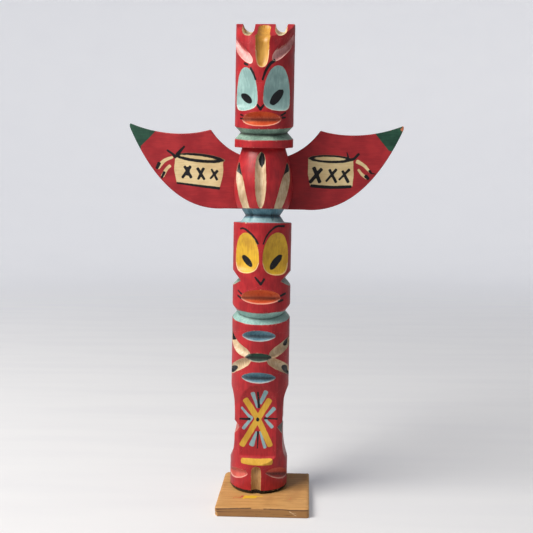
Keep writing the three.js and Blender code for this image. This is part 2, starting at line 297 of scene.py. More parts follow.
# feathers cut with a flat gouge: azimuth and height of points along the middle of the cut, its
# half-width and depth, and how blunt its ends are
LEAVES = {
    "torso_middle": ([(-1.6, 184.4), (-1.8, 200.0), (-3.0, 212.5), (-1.4, 219.8)], 3.65, 2.6, 3.2),
    "torso_left": (
        [(-30, 175.0), (-38.5, 186.0), (-47.5, 199.0), (-60, 207.5), (-67.5, 213.8)], 3.7, 2.4, 2.4),
    "torso_right": ([(33, 176.0), (40, 186.0), (50, 198.0), (62, 207.0), (70, 213.8)], 4.0, 2.5, 2.2),
    "feather_upper_left": ([(-17.5, 90.9), (-45, 94.4), (-62, 98.2), (-86, 104.0)], 3.3, 2.1, 4.4),
    "feather_upper_right": ([(20.5, 90.4), (45, 94.4), (66, 97.2), (94, 99.6)], 3.4, 2.2, 4.0),
    "feather_lower_left": ([(-16.5, 87.8), (-38, 84.4), (-58, 81.3), (-86, 77.0)], 3.2, 2.1, 3.6),
    "feather_lower_right": ([(16.5, 88.2), (39, 84.6), (60, 81.5), (92, 77.0)], 3.2, 2.2, 3.6),
}


def directions(azimuth):
    """Unit vectors sideways and outwards at an azimuth; 0 is the front and right is positive."""
    turn = math.radians(azimuth)
    return np.array([math.cos(turn), math.sin(turn), 0]), np.array([math.sin(turn), -math.cos(turn), 0])


def notch_cut(azimuth, height, reach, up, down, roundness, tilt):
    """How far points stand out of a straight knife cut; inside it is negative."""
    sideways, outwards = directions(azimuth)
    depth = RADIUS - reach

    def outside(points):
        out = (points @ outwards - reach) / depth
        opening = np.where(out > 0, np.maximum(out, 1e-9) ** roundness, out)
        rise = points[..., 2] - height - math.tan(math.radians(tilt)) * (points @ sideways)
        return np.where(rise > 0, rise - up * opening, -rise - down * opening)
    return outside


def tool_axis(length, sideways, depth, bulge):
    """Half-axis of a gouge stroke that ends at a length along the dowel's surface."""
    surface = math.sqrt(RADIUS ** 2 - sideways ** 2) - RADIUS
    return length / math.sqrt(1 - ((surface + depth - bulge) / bulge) ** 2)


def scoop_cut(azimuth, height, up, down, half, depth, bulge, turn):
    """How far points stand out of a spoon-shaped gouge cut."""
    sideways, outwards = directions(azimuth)
    lean = math.radians(turn)
    along = sideways * math.sin(lean) + np.array([0, 0, math.cos(lean)])
    across = sideways * math.cos(lean) - np.array([0, 0, math.sin(lean)])
    upper = tool_axis(up, up * abs(math.sin(lean)), depth, bulge)
    lower = tool_axis(down, down * abs(math.sin(lean)), depth, bulge)
    side = tool_axis(half, half * math.cos(lean), depth, bulge)
    centre = outwards * (RADIUS - depth + bulge) + np.array([0, 0, height])

    def outside(points):
        offset = points - centre
        rise = offset @ along
        beside = (offset @ across / side) ** 2 + (offset @ outwards / bulge) ** 2
        above = np.sqrt((rise / upper) ** 2 + beside)
        below = (np.abs(rise / lower) ** 2.8 + beside ** 1.4) ** (1 / 2.8)
        return (np.where(rise > 0, above, below) - 1) * bulge
    return outside


def capsule_cut(middle, along, length, radius):
    """How far points stand out of a straight groove with round ends."""
    def outside(points):
        offset = points - middle
        place = np.clip(offset @ along, -length / 2, length / 2)
        return np.linalg.norm(offset - place[..., None] * along, axis=-1) - radius
    return outside


def groove_cut(azimuth, low, high, low_floor, high_floor, radius, lean):
    sideways, outwards = directions(azimuth)
    inwards = math.atan2(high_floor - low_floor, high - low)
    upright = np.array([0, 0, math.cos(inwards)])
    along = upright * math.cos(math.radians(lean)) + sideways * math.sin(math.radians(lean))
    along = along + outwards * math.sin(inwards)
    middle = outwards * ((low_floor + high_floor) / 2 + radius) + np.array([0, 0, (low + high) / 2])
    return capsule_cut(middle, along / np.linalg.norm(along), high - low, radius)


def waist_cut(side):
    """The flatter side of the legs, hollowed between the foot and the belly."""
    middle = (WAIST["top"] + WAIST["bottom"]) / 2
    reach = (WAIST["top"] - WAIST["bottom"]) / 2

    def outside(points):
        share = np.abs((points[..., 2] - middle) / reach)
        half = WAIST["half"] + (RADIUS - WAIST["half"]) * share ** WAIST["power"]
        return half - side * points[..., 0]
    return outside


def panel_cut(points):
    """The flat front of the legs, with a curved top and a short sloping ledge at the foot."""
    height = points[..., 2]
    up = np.clip((height - PANEL["flat"]) / (PANEL["top"] - PANEL["flat"]), 0, 2) ** PANEL["power"]
    down = np.clip((PANEL["ledge"] - height) / (PANEL["ledge"] - PANEL["foot"]), 0, 2)
    return PANEL["reach"] + (RADIUS + 0.25 - PANEL["reach"]) * np.maximum(up, down) + points[..., 1]


def bevel_cut(points):
    """The slanting front of the crown."""
    slope = BEVEL["drop"] / (RADIUS + BEVEL["start"])
    return (HEIGHT + slope * (points[..., 1] - BEVEL["start"]) - points[..., 2]) / math.hypot(1, slope)


def crown_groove_cut():
    slope = math.atan2(BEVEL["drop"], RADIUS + BEVEL["start"])
    outwards = directions(CROWN_GROOVE["azimuth"])[1]
    away = CROWN_GROOVE["radius"] - CROWN_GROOVE["depth"]
    middle = CROWN_GROOVE["upper_end"] + CROWN_GROOVE["length"] / 2 * math.cos(slope)
    height = HEIGHT - math.tan(slope) * (middle + BEVEL["start"])
    height += away * math.cos(slope)
    centre = outwards * (middle + away * math.sin(slope)) + np.array([0, 0, height])
    along = outwards * math.cos(slope) - np.array([0, 0, math.sin(slope)])
    return capsule_cut(centre, along, CROWN_GROOVE["length"], CROWN_GROOVE["radius"])


def joined(first, second, blend):
    """One cut made of two that run smoothly into each other."""
    def outside(points):
        near, far = first(points), second(points)
        share = np.clip(0.5 + 0.5 * (far - near) / blend, 0, 1)
        return far + (near - far) * share - blend * share * (1 - share)
    return outside


def crown_notch_cut(side):
    """A round-bottomed channel across the crown that falls towards the front."""
    rise = CROWN_NOTCH["rise"]
    radius = CROWN_NOTCH["radius"]
    centre = side * CROWN_NOTCH["out"]
    floor = CROWN_NOTCH["floor"] + math.sqrt(RADIUS ** 2 - centre ** 2) * math.tan(rise)

    def outside(points):
        over = (points[..., 2] - floor) * math.cos(rise) - points[..., 1] * math.sin(rise)
        return np.hypot(points[..., 0] - centre, np.minimum(over - radius, 0)) - radius
    return outside


def dado_cut(points):
    """The slot across the back that holds the wing board."""
    height = points[..., 2]
    return np.maximum(DADO["front"] - points[..., 1], np.maximum(DADO["low"] - height, height - DADO["high"]))


flats = {"left_waist": waist_cut(-1), "right_waist": waist_cut(1), "panel": panel_cut, "bevel": bevel_cut}
cuts = {name: notch_cut(*sizes) for name, sizes in NOTCHES.items()}
cuts.update({name: scoop_cut(*sizes) for name, sizes in SCOOPS.items()})
cuts.update({name: groove_cut(*sizes) for name, sizes in GROOVES.items()})
cuts["middle_crest"] = joined(cuts["middle_crest"], crown_groove_cut(), CROWN_GROOVE["blend"])
cuts["left_crown_notch"] = crown_notch_cut(-1)
cuts["right_crown_notch"] = crown_notch_cut(1)
cuts["dado"] = dado_cut


TORSO_HEIGHTS = (184.5, 187.0, 189.5, 192.0, *range(195, 217, 3), 219.4, 223.6)


def torso_rings():
    """Rings of the barrel-shaped torso: height, radius and tilt."""
    rings = []
    for height in TORSO_HEIGHTS:
        under = max(0, (TORSO["widest"] - height) / (TORSO["widest"] - TORSO["low"]))
        over = max(0, (height - TORSO["widest"]) / (TORSO["top"] - TORSO["widest"]))
        drop = TORSO["low_drop"] * under ** 2 + TORSO["top_drop"] * over ** TORSO["top_power"]
        rings.append((height, RADIUS - drop, 0))
    return rings


def stations():
    """Rows up the pole: height, radius, tilt, and the radius and height each is carved towards."""
    rings = LOWER_RINGS + torso_rings() + UPPER_RINGS
    rows = [(0.0, radius, 0, radius, 5.0) for radius in (4.0, 10.0, 15.0)]
    corners = []
    for (low, low_radius, low_tilt), (high, high_radius, high_tilt) in zip(rings, rings[1:]):
        steps = max(1, round(math.hypot(high - low, high_radius - low_radius) / ROW_STEP))
        corners.append(len(rows))
        for step in range(steps):
            share = step / steps
            height = low + (high - low) * share
            crown = max(0.0, (height - CROWN_LOW) / (HEIGHT - CROWN_LOW))
            rows.append((
                height, low_radius + (high_radius - low_radius) * share,
                low_tilt + (high_tilt - low_tilt) * share, CROWN_INNER * crown,
                min(height, CROWN_LOW - 2 * crown)))
    corners.append(len(rows))
    for radius in np.linspace(18.7, 0.8, 25):
        rows.append((HEIGHT, radius, 0, 0.6 * radius, CROWN_LOW - 2))
    return np.array(rows), corners


half_turn = np.concatenate([
    np.linspace(0, FRONT_REACH, 60), np.linspace(FRONT_REACH, SIDE_REACH, 23)[1:],
    np.linspace(SIDE_REACH, 180, 16)[1:]])
column_angles = np.radians(np.concatenate([-half_turn[:0:-1], half_turn[:-1]]))
rows, corner_rows = stations()
turns, lines = np.meshgrid(column_angles, np.arange(len(rows), dtype=float))
steps_round = np.diff(np.append(column_angles, column_angles[0] + 2 * math.pi))


def row_value(lines, column):
    """A value of the rows at places between them."""
    return np.interp(lines, np.arange(len(rows)), rows[:, column])


def turned_points(turns, lines):
    """Points of the uncut dowel at angles and rows."""
    radius = row_value(lines, 1)
    y = -radius * np.cos(turns)
    return np.stack([radius * np.sin(turns), y, row_value(lines, 0) + row_value(lines, 2) * y], axis=-1)


def snap_to(values, turns, lines, held, fixed_rows):
    """Moves the grid's nearest vertices onto the line where the values change sign."""
    best = np.full(values.shape, 0.5)
    turn_move = np.zeros(values.shape)
    line_move = np.zeros(values.shape)
    for ahead in (True, False):
        beside = np.roll(values, -1 if ahead else 1, axis=1)
        step = steps_round if ahead else -np.roll(steps_round, 1)
        share = np.where(values * beside < 0, values / np.where(values == beside, 1, values - beside), 1)
        nearer = (share < best) & ~held
        best[nearer] = share[nearer]
        turn_move[nearer] = (share * step[None, :])[nearer]
        line_move[nearer] = 0
        above = np.roll(values, -1 if ahead else 1, axis=0)
        share = np.where(values * above < 0, values / np.where(values == above, 1, values - above), 1)
        share[[0, -1]] = 1
        share[fixed_rows] = 1
        nearer = (share < best) & ~held
        best[nearer] = share[nearer]
        line_move[nearer] = (share if ahead else -share)[nearer]
        turn_move[nearer] = 0
    moved = best < 0.5
    turns[moved] += turn_move[moved]
    lines[moved] += line_move[moved]
    held |= moved


def carve(points, core, cuts):
    """Moves points that are inside a cut along their ray to the cut's surface."""
    for _ in range(2):
        for cut in cuts.values():
            inside = cut(points) < 0
            near = points[inside]
            far = core[inside]
            for _ in range(20):
                middle = (near + far) / 2
                still = (cut(middle) < 0)[..., None]
                near = np.where(still, middle, near)
                far = np.where(still, far, middle)
            points[inside] = far
    return points


def core_points(turns, lines, whole):
    """The points inside the wood that the surface is carved towards."""
    inner = row_value(lines, 3)
    core = np.stack([inner * np.sin(turns), -inner * np.cos(turns), row_value(lines, 4)], axis=-1)
    level = (lines > 3) & (whole[..., 2] < CROWN_LOW)
    core[..., 2] = np.where(level, whole[..., 2], core[..., 2])
    return core


def flattened_points(turns, lines):
    """Points of the dowel after its flat cuts."""
    whole = turned_points(turns, lines)
    return carve(whole, core_points(turns, lines, whole), flats)


def curved(points, steps=6):
    """A smooth line through points."""
    points = [np.array(point, float) for point in points]
    ends = [2 * points[0] - points[1], *points, 2 * points[-1] - points[-2]]
    line = []
    for before, start, end, after in zip(ends, ends[1:], ends[2:], ends[3:]):
        for step in range(steps):
            t = step / steps
            bend = (2 * before - 5 * start + 4 * end - after) * t ** 2
            twist = (3 * start - 3 * end + after - before) * t ** 3
            line.append(0.5 * (2 * start + (end - before) * t + bend + twist))
    return line + [points[-1]]


def place_on_line(across, up, points, blunt=1.0):
    """Share of the way along a smooth line of the nearest place on it, and the distance to it."""
    line = curved(points) if len(points) > 2 else [np.array(point, float) for point in points]
    best = np.full(across.shape, 99.0)
    place = np.zeros(across.shape)
    for index, (start, end) in enumerate(zip(line, line[1:])):
        span = end - start
        share = ((across - start[0]) * span[0] + (up - start[1]) * span[1]) / max(span @ span, 1e-9)
        beyond = np.abs(share - np.clip(share, 0, 1)) * math.hypot(*span)
        beside = np.abs((across - start[0]) * span[1] - (up - start[1]) * span[0]) / math.hypot(*span)
        share = np.clip(share, 0, 1)
        away = ((blunt * beyond) ** (1 + blunt) + beside ** (1 + blunt)) ** (1 / (1 + blunt))
        nearer = away < best
        best = np.where(nearer, away, best)
        place = np.where(nearer, (index + share) / (len(line) - 1), place)
    return place, best


def on_pole(points):
    """Azimuths and heights turned into places on the unrolled dowel."""
    return [(math.radians(azimuth) * RADIUS, level) for azimuth, level in points]


def leaf_cut(around, height, points, half, depth, bluntness):
    """Distance inside a feather's outline, and how deep it is cut there."""
    place, away = place_on_line(around, height, on_pole(points))
    width = half * np.sqrt(np.maximum(1 - np.abs(2 * place - 1) ** bluntness, 1e-9))
    hollow = np.maximum(1 - (away / width) ** 2, 0)
    return width - away, depth * (width / half) * hollow


held = np.zeros(turns.shape, bool)
for cut in flats.values():
    snap_to(cut(turned_points(turns, lines)), turns, lines, held, corner_rows)
for leaf in LEAVES.values():
    height = flattened_points(turns, lines)[..., 2]
    snap_to(-leaf_cut(turns * RADIUS, height, *leaf)[0], turns, lines, held, corner_rows)
for cut in cuts.values():
    snap_to(cut(flattened_points(turns, lines)), turns, lines, held, corner_rows)
for name, sizes in NOTCHES.items():
    flattened = flattened_points(turns, lines)
    slant = math.tan(math.radians(sizes[6])) * (flattened @ directions(sizes[0])[0])
    crease = np.where(cuts[name](flattened) < -0.2, flattened[..., 2] - sizes[1] - slant, 1.0)
    snap_to(crease, turns, lines, held, corner_rows)

whole = turned_points(turns, lines)
core = core_points(turns, lines, whole)
flattened = flattened_points(turns, lines)
carved = flattened.copy()
inside_cut = {}
for name, leaf in LEAVES.items():
    inside_cut[name], depth = leaf_cut(turns * RADIUS, flattened[..., 2], *leaf)
    carved[..., :2] *= (1 - depth / np.maximum(np.hypot(carved[..., 0], carved[..., 1]), 5.0))[..., None]
carve(carved, core, cuts)
foot_plane = (JOINT_GAP + carved[..., 0] * math.sin(LEAN)) / math.cos(LEAN)
carved[..., 2] = np.maximum(carved[..., 2], foot_plane)


def wander(points, size, seed):
    """Smooth unevenness between -1 and 1 with patches of a size in millimetres."""
    flat = points.reshape(-1, 3) / size + seed
    return np.array([noise.noise(point) for point in flat]).reshape(points.shape[:-1])


HAND_CUT = 0.07
dent = HAND_CUT * (1 + wander(carved, 7.0, 3.7) + 0.5 * wander(carved, 2.6, 11.3))
reach = np.linalg.norm(carved[..., :2], axis=-1)
carved[..., :2] *= (1 - np.minimum(dent / np.maximum(reach, 1), 0.02))[..., None]


def surface_distance(values):
    """Values turned into distances along the surface from where they are nought."""
    slopes = []
    for axis in (0, 1):
        change = np.roll(values, -1, axis) - np.roll(values, 1, axis)
        length = np.linalg.norm(np.roll(flattened, -1, axis) - np.roll(flattened, 1, axis), axis=-1)
        slopes.append(change / np.maximum(length, 1e-6))
    return -values / np.maximum(np.hypot(*slopes), 0.12)


paint = {}


def lay(paint, name, distance):
    """Adds an area to a colour; the distance is positive inside it, in millimetres."""
    paint[name] = np.maximum(paint[name], distance) if name in paint else distance


inside_cut.update({name: surface_distance(cut(flattened)) for name, cut in cuts.items()})
height = carved[..., 2]
around = turns * RADIUS

CUT_COLOURS = {
    "teal": ("upper_left_eye", "upper_right_eye"),
    "yellow": ("lower_left_eye", "lower_right_eye"),
    "ochre": ("middle_crest",),
    "rose": ("left_crest", "right_crest"),
    "orange": ("upper_mouth", "lower_mouth"),
    "blue": ("upper_slot", "lower_slot"),
    "dark_green": ("middle_slot",),
    "cream": ("feather_upper_left", "feather_upper_right", "feather_lower_left", "feather_lower_right",
              "torso_middle", "torso_left", "torso_right"),
    "tan": ("between_feet",),
    "coral": ("left_toes", "right_toes"),
}
for name, filled in CUT_COLOURS.items():
    for cut_name in filled:
        lay(paint, name, inside_cut[cut_name])
for name in ("left_crown_notch", "right_crown_notch"):
    lay(paint, "ivory", np.minimum(inside_cut[name], HEIGHT - 1.0 - height))
for name in ("left_cheek", "right_cheek"):
    lay(paint, "sage", np.minimum(inside_cut[name], NOTCHES[name][1] - height))
for name, colour_name, low in (("left_nick", "coral", 38.5), ("right_nick", "brown", 38.2)):
    lower_face = np.minimum(NOTCHES[name][1] - height, height - low)
    lay(paint, colour_name, np.minimum(inside_cut[name], lower_face))

profile = turned_points(np.zeros(len(rows)), np.arange(len(rows)))
row_arc = np.append(0, np.cumsum(np.linalg.norm(np.diff(profile, axis=0), axis=1)))
arc = np.interp(lines, np.arange(len(rows)), row_arc)


def ring_arc(height, radius):
    """Length along the profile to a ring."""
    nearest = np.argmin(np.abs(rows[:, 0] - height) + np.abs(rows[:, 1] - radius))
    return row_arc[nearest]


# painted shadow: the pole's lowest 2.5 mm is painted black for the shadow in the gap under its foot
FOOT_SHADOW_HEIGHT = 2.5
lay(paint, "black", FOOT_SHADOW_HEIGHT - height)
# painted shade: darker paint along the creases of the knife cuts and the neck grooves, where shade falls
crease = np.full(height.shape, -9.0)
# painted highlight: pale paint along the lower rims of the knife cuts and the eyes, where light catches them
lip_highlight = np.full(height.shape, 9.0)


def add_lip_highlight(lip_highlight, inside, above):
    """Keeps the nearest lower rim of a cut for a painted highlight; above is how far points are past the
    rim's upper end.
    """
    away = np.abs(inside) + np.maximum(above, 0)
    return np.where(away < np.abs(lip_highlight), np.copysign(away, inside), lip_highlight)


for name, sizes in NOTCHES.items():
    rise = height - sizes[1] - math.tan(math.radians(sizes[6])) * (carved @ directions(sizes[0])[0])
    if name != "left_toes":
        crease = np.maximum(crease, np.minimum(inside_cut[name] - 1.0, -np.abs(rise + 0.5) * 0.8))
    lip_highlight = add_lip_highlight(lip_highlight, inside_cut[name], (rise + 0.6) * 2)
for name, sizes in SCOOPS.items():
    lip_highlight = add_lip_highlight(lip_highlight, inside_cut[name], height - sizes[1] + 3.0)
# painted shade along the creases of the three neck grooves, fainter on the lowest
for level, radius, softer in ((180.0, 11.3, 0), (233.6, 15.1, 0), (117.6, 15.2, 0.45)):
    crease = np.maximum(crease, -softer - np.abs(arc - ring_arc(level, radius)) / 1.6)
paint["crease"] = crease
paint["lip_highlight"] = lip_highlight

RED_UNDER_CHIN = 118.5
lay(paint, "pale_green", np.minimum(arc - ring_arc(113.6, 18.8), np.minimum(
    ring_arc(122.6, 18.8) - arc, RED_UNDER_CHIN - height)))
lay(paint, "blue", np.minimum(arc - ring_arc(175.5, 18.7), ring_arc(184.2, 14.0) + 0.2 - arc))
# painted light: the ledge on top of the lower head and the lower half of the blue neck groove, which face up,
# are painted a paler blue as if lit
lay(paint, "sky", np.minimum(arc - ring_arc(175.5, 18.7), ring_arc(178.2, 12.5) - arc))
lay(paint, "sage", np.minimum(arc - ring_arc(229.5, 18.8), ring_arc(237.5, 18.8) - arc))


def brush_stroke(across, up, points, start_width, end_width=None):
    """Distance inside a brush stroke along a line, whose width may change from end to end."""
    end_width = start_width if end_width is None else end_width
    place, away = place_on_line(across, up, points, 1.5)
    return (start_width + (end_width - start_width) * place) / 2 - away


def brush_spot(across, up, centre, length, width, turn):
    """Distance inside an oval spot whose long side is turned anticlockwise from level."""
    lean = math.radians(turn)
    along = (across - centre[0]) * math.cos(lean) + (up - centre[1]) * math.sin(lean)
    beside = (up - centre[1]) * math.cos(lean) - (across - centre[0]) * math.sin(lean)
    return (1 - np.hypot(along / (length / 2), beside / (width / 2))) * width / 2


# azimuth and height of the points of each drawn line, and its width at the start and the end
DRAWN = [
    ([(-39.8, 274.6), (-31.2, 273.5)], 1.6, 1.4),
    ([(-25.4, 271.4), (-19.2, 268.0), (-14.4, 264.1)], 1.6, 1.3),
    ([(21.9, 276.1), (12.0, 273.3), (4.2, 269.0), (-0.9, 264.0)], 2.0, 1.4),
    ([(-11.1, 248.9), (-4.0, 245.8)], 1.3, 1.7), ([(-4.0, 245.8), (2.0, 248.7)], 1.7, 1.2),
    ([(-49.6, 243.4), (-40.8, 242.3)], 0.9, 1.1), ([(-50.3, 241.0), (-42.4, 240.5)], 1.1, 1.0),
    ([(36.6, 242.7), (48.3, 244.7)], 1.0, 1.3), ([(39.7, 241.2), (48.5, 241.8)], 1.2, 1.2),
    ([(-45.0, 171.4), (-37.0, 171.7), (-29.5, 170.8), (-18.5, 168.2), (-10.3, 165.2),
      (-4.7, 162.2)], 1.2, 1.5),
    ([(50.6, 173.4), (31.9, 173.3), (19.0, 170.3), (11.0, 166.7), (5.2, 162.0)], 1.6, 0.9),
    ([(-9.9, 141.1), (1.8, 136.5)], 1.1, 1.6), ([(1.8, 136.5), (8.3, 140.1)], 1.6, 1.3),
    ([(-49.9, 131.9), (-38.9, 129.8)], 1.1, 1.3), ([(-50.4, 128.5), (-40.6, 127.0)], 1.4, 1.4),
    ([(43.0, 128.9), (57.7, 130.2)], 1.3, 1.7), ([(38.9, 125.5), (50.9, 126.1)], 1.6, 1.4),
]
for points, start_width, end_width in DRAWN:
    lay(paint, "black", brush_stroke(around, height, on_pole(points), start_width, end_width))

# azimuth, height, length, width and turn of the pupils
PUPILS = [
    (-41.0, 253.4, 11.8, 5.0, -27), (31.8, 254.1, 14.0, 6.2, 42),
    (-32.5, 150.9, 11.6, 4.6, -35), (37.2, 150.4, 13.8, 5.3, 39),
]
for azimuth, level, length, width, turn in PUPILS:
    lay(paint, "black", brush_spot(around, height, on_pole([(azimuth, level)])[0], length, width, turn))


def inside_shape(across, up, outline):
    """Distance inside a closed shape given by its corners, anticlockwise and convex."""
    best = np.full(across.shape, 99.0)
    for start, end in zip(outline, outline[1:] + outline[:1]):
        length = math.hypot(end[0] - start[0], end[1] - start[1])
        side = ((end[0] - start[0]) * (up - start[1]) - (end[1] - start[1]) * (across - start[0])) / length
        best = np.minimum(best, side)
    return best


# black tips of the feathers: a pointed one, three beyond a line, and three ovals
MIDDLE_TIP = [
    (-0.1, 209.8), (1.8, 212.6), (2.3, 215.4), (1.4, 218.8), (-0.4, 220.4), (-1.6, 218.6), (-3.0, 215.2),
    (-2.2, 212.2),
]
lay(paint, "black", np.minimum(inside_cut["torso_middle"] - 0.1, inside_shape(around, height, MIDDLE_TIP)))
SIDE_TIPS = {"torso_left": ((-22.7, 207.4), (-18.3, 205.1)), "torso_right": ((17.7, 204.6), (22.2, 207.3)),
             "feather_upper_left": ((-23.9, 98.5), (-16.4, 100.1))}
for name, ((left, left_level), (right, right_level)) in SIDE_TIPS.items():
    length = math.hypot(right - left, right_level - left_level)
    above = ((height - left_level) * (right - left) - (around - left) * (right_level - left_level)) / length
    lay(paint, "black", np.minimum(inside_cut[name] - 0.15, above))
OVAL_TIPS = {
    "feather_upper_right": (78.0, 98.6, 10.6, 4.6, 26), "feather_lower_left": (-73.0, 79.0, 12.6, 4.4, 19),
    "feather_lower_right": (75.0, 79.2, 13.2, 4.8, -33),
}
for name, (azimuth, level, length, width, turn) in OVAL_TIPS.items():
    spot = brush_spot(around, height, on_pole([(azimuth, level)])[0], length, width, turn)
    lay(paint, "black", np.minimum(inside_cut[name] + 0.1, spot))

# ornament on the flat front of the legs: sideways place and height along each stroke, and its width
PANEL_YELLOW = [
    ([(-8.1, 60.9), (-0.2, 48.5), (7.9, 31.7)], 3.8), ([(7.0, 61.1), (-0.2, 48.5), (-10.1, 31.3)], 3.7),
]
PANEL_BLUE = [
    ([(-3.6, 65.7), (-0.6, 56.1)], 2.8, 1.2), ([(4.9, 67.0), (1.4, 59.1)], 3.0, 2.2),
    ([(-10.7, 55.8), (-6.5, 51.0), (-4.2, 49.2)], 1.4, 2.0),
    ([(-9.4, 42.2), (-5.9, 46.8), (-4.1, 48.9)], 2.2, 1.6),
    ([(10.2, 55.7), (5.6, 50.6)], 2.6, 1.9), ([(9.1, 43.6), (4.9, 48.2)], 2.4, 1.8),
    ([(-0.9, 40.1), (-3.9, 31.6)], 1.2, 3.4), ([(1.4, 40.2), (4.7, 30.0)], 1.2, 2.2),
]
PANEL_BLACK = [
    ([(-0.3, 66.6), (0.4, 56.2)], 1.3, 1.7), ([(-11.9, 48.4), (-5.4, 48.4)], 1.2, 1.7),
    ([(4.1, 49.2), (12.4, 49.0)], 1.3, 0.9), ([(0.0, 40.1), (-0.1, 29.0)], 1.5, 0.5),
]
across = carved[..., 0]
front_only = np.where(carved[..., 1] < -6, 9.0, -9.0)
panel_strokes = [("marigold", points, width, width) for points, width in PANEL_YELLOW]
panel_strokes += [("sky", *stroke) for stroke in PANEL_BLUE]
panel_strokes += [("black", *stroke) for stroke in PANEL_BLACK]
for name, points, start_width, end_width in panel_strokes:
    lay(paint, name, np.minimum(brush_stroke(across, height, points, start_width, end_width), front_only))
lay(paint, "black", np.minimum(brush_spot(across, height, (-0.3, 48.2), 2.8, 2.2, 90), front_only))
foot_bar = brush_stroke(around, height, on_pole([(-31, 21.2), (0, 21.0), (28, 21.2)]), 3.4, 3.8)
lay(paint, "marigold", np.minimum(foot_bar, front_only))

edge_distance = np.max([-np.abs(distance) for distance in inside_cut.values()], axis=0)
RING_EDGES = (
    (1.9, 19), (113.4, 19), (122.8, 19), (175.3, 19), (184.5, 16.5), (224.2, 19), (229.3, 19), (237.6, 19),
    (HEIGHT, 19),
)
for level, radius in RING_EDGES:
    edge_distance = np.maximum(edge_distance, -np.abs(arc - ring_arc(level, radius)))
paint["edge"] = edge_distance


def grid_faces(points, held):
    """Triangles of a grid that closes round its columns, cut along the snapped lines."""
    row_count, column_count = points.shape[:2]
    index = np.arange(row_count * column_count).reshape(row_count, column_count)
    corners = [index[:-1], np.roll(index, -1, 1)[:-1], np.roll(index, -1, 1)[1:], index[1:]]
    low_left, low_right, high_right, high_left = [corner.ravel() for corner in corners]
    flat = points.reshape(-1, 3)
    on_line = held.ravel()
    rising = np.linalg.norm(flat[low_left] - flat[high_right], axis=1)
    falling = np.linalg.norm(flat[low_right] - flat[high_left], axis=1)
    rising_line = on_line[low_left] & on_line[high_right]
    falling_line = on_line[low_right] & on_line[high_left]
    use_rising = np.where(rising_line != falling_line, rising_line, rising < falling)[:, None]
    first = np.where(use_rising, np.stack([low_left, low_right, high_right], 1),
                     np.stack([low_left, low_right, high_left], 1))
    second = np.where(use_rising, np.stack([low_left, high_right, high_left], 1),
                      np.stack([low_right, high_right, high_left], 1))
    return np.concatenate([first, second])


def end_faces(column_count, first, middle, flip):
    """Triangles that close a grid's end row round a middle point."""
    columns = np.arange(column_count)
    after = np.roll(columns, -1)
    pair = (after, columns) if flip else (columns, after)
    return np.stack([first + pair[0], first + pair[1], np.full(column_count, middle)], 1)


def build_mesh(name, points, faces, marks, sharp):
    """A mesh object in metres with one number on every vertex for each mark."""
    mesh = bpy.data.meshes.new(name)
    mesh.from_pydata((points * MM).tolist(), [], faces.tolist())
    for mark, values in marks.items():
        mesh.attributes.new(mark, "FLOAT", "POINT").data.foreach_set("value", values.astype(np.float32))
    mesh.shade_smooth()
    mesh.set_sharp_from_angle(angle=math.radians(sharp))
    made = bpy.data.objects.new(name, mesh)
    scene.collection.objects.link(made)
    return made


def closed_faces(points, held):
    """Triangles of a grid with both end rows closed; the middle points of the ends come last."""
    row_count, column_count = points.shape[:2]
    return np.concatenate([
        grid_faces(points, held),
        end_faces(column_count, 0, row_count * column_count, True),
        end_faces(column_count, (row_count - 1) * column_count, row_count * column_count + 1, False)])


def stand_up(points):
    """Pole millimetres turned into the frame's millimetres: leaning, on the base."""
    lean = np.array([[math.cos(LEAN), 0, math.sin(LEAN)], [0, 1, 0], [-math.sin(LEAN), 0, math.cos(LEAN)]])
    return points @ lean.T + np.array(pole_foot) / MM


ends = np.array([[0, 0, JOINT_GAP / math.cos(LEAN)], [0, 0, HEIGHT]])
pole_points = stand_up(np.concatenate([carved.reshape(-1, 3), ends]))
pole_marks = {name: np.append(values.ravel(), [-9, -9]) for name, values in paint.items()}
pole = build_mesh("painted_pole", pole_points, closed_faces(carved, held), pole_marks, 40)


def edge_group():
    """The wavering edge of hand-laid paint: a share from a distance inside the painted area."""
    group = bpy.data.node_groups.new("brush_edge", "ShaderNodeTree")
    group.interface.new_socket("Distance", in_out="INPUT", socket_type="NodeSocketFloat")
    group.interface.new_socket("Waver", in_out="INPUT", socket_type="NodeSocketFloat")
    group.interface.new_socket("Share", in_out="OUTPUT", socket_type="NodeSocketFloat")
    given = group.nodes.new("NodeGroupInput")
    result = group.nodes.new("NodeGroupOutput")
    place = object_place(group)
    shake = maths(group, "SUBTRACT", speckle(group, place, 2.2 * MM, 2.0), 0.5)
    moved = maths(group, "MULTIPLY_ADD", shake, given.outputs["Waver"], given.outputs["Distance"])
    group.links.new(spread(group, moved, -0.14, 0.14), result.inputs["Share"])
    return group


brush_edge = edge_group()


def paint_share(tree, name, waver):
    """Where a colour lies, from the distances kept on the mesh."""
    distance = add(tree, "Attribute", attribute_name=name).outputs["Fac"]
    placed = tree.nodes.new("ShaderNodeGroup")
    placed.node_tree = brush_edge
    tree.links.new(distance, placed.inputs["Distance"])
    placed.inputs["Waver"].default_value = waver
    return placed.outputs["Share"]


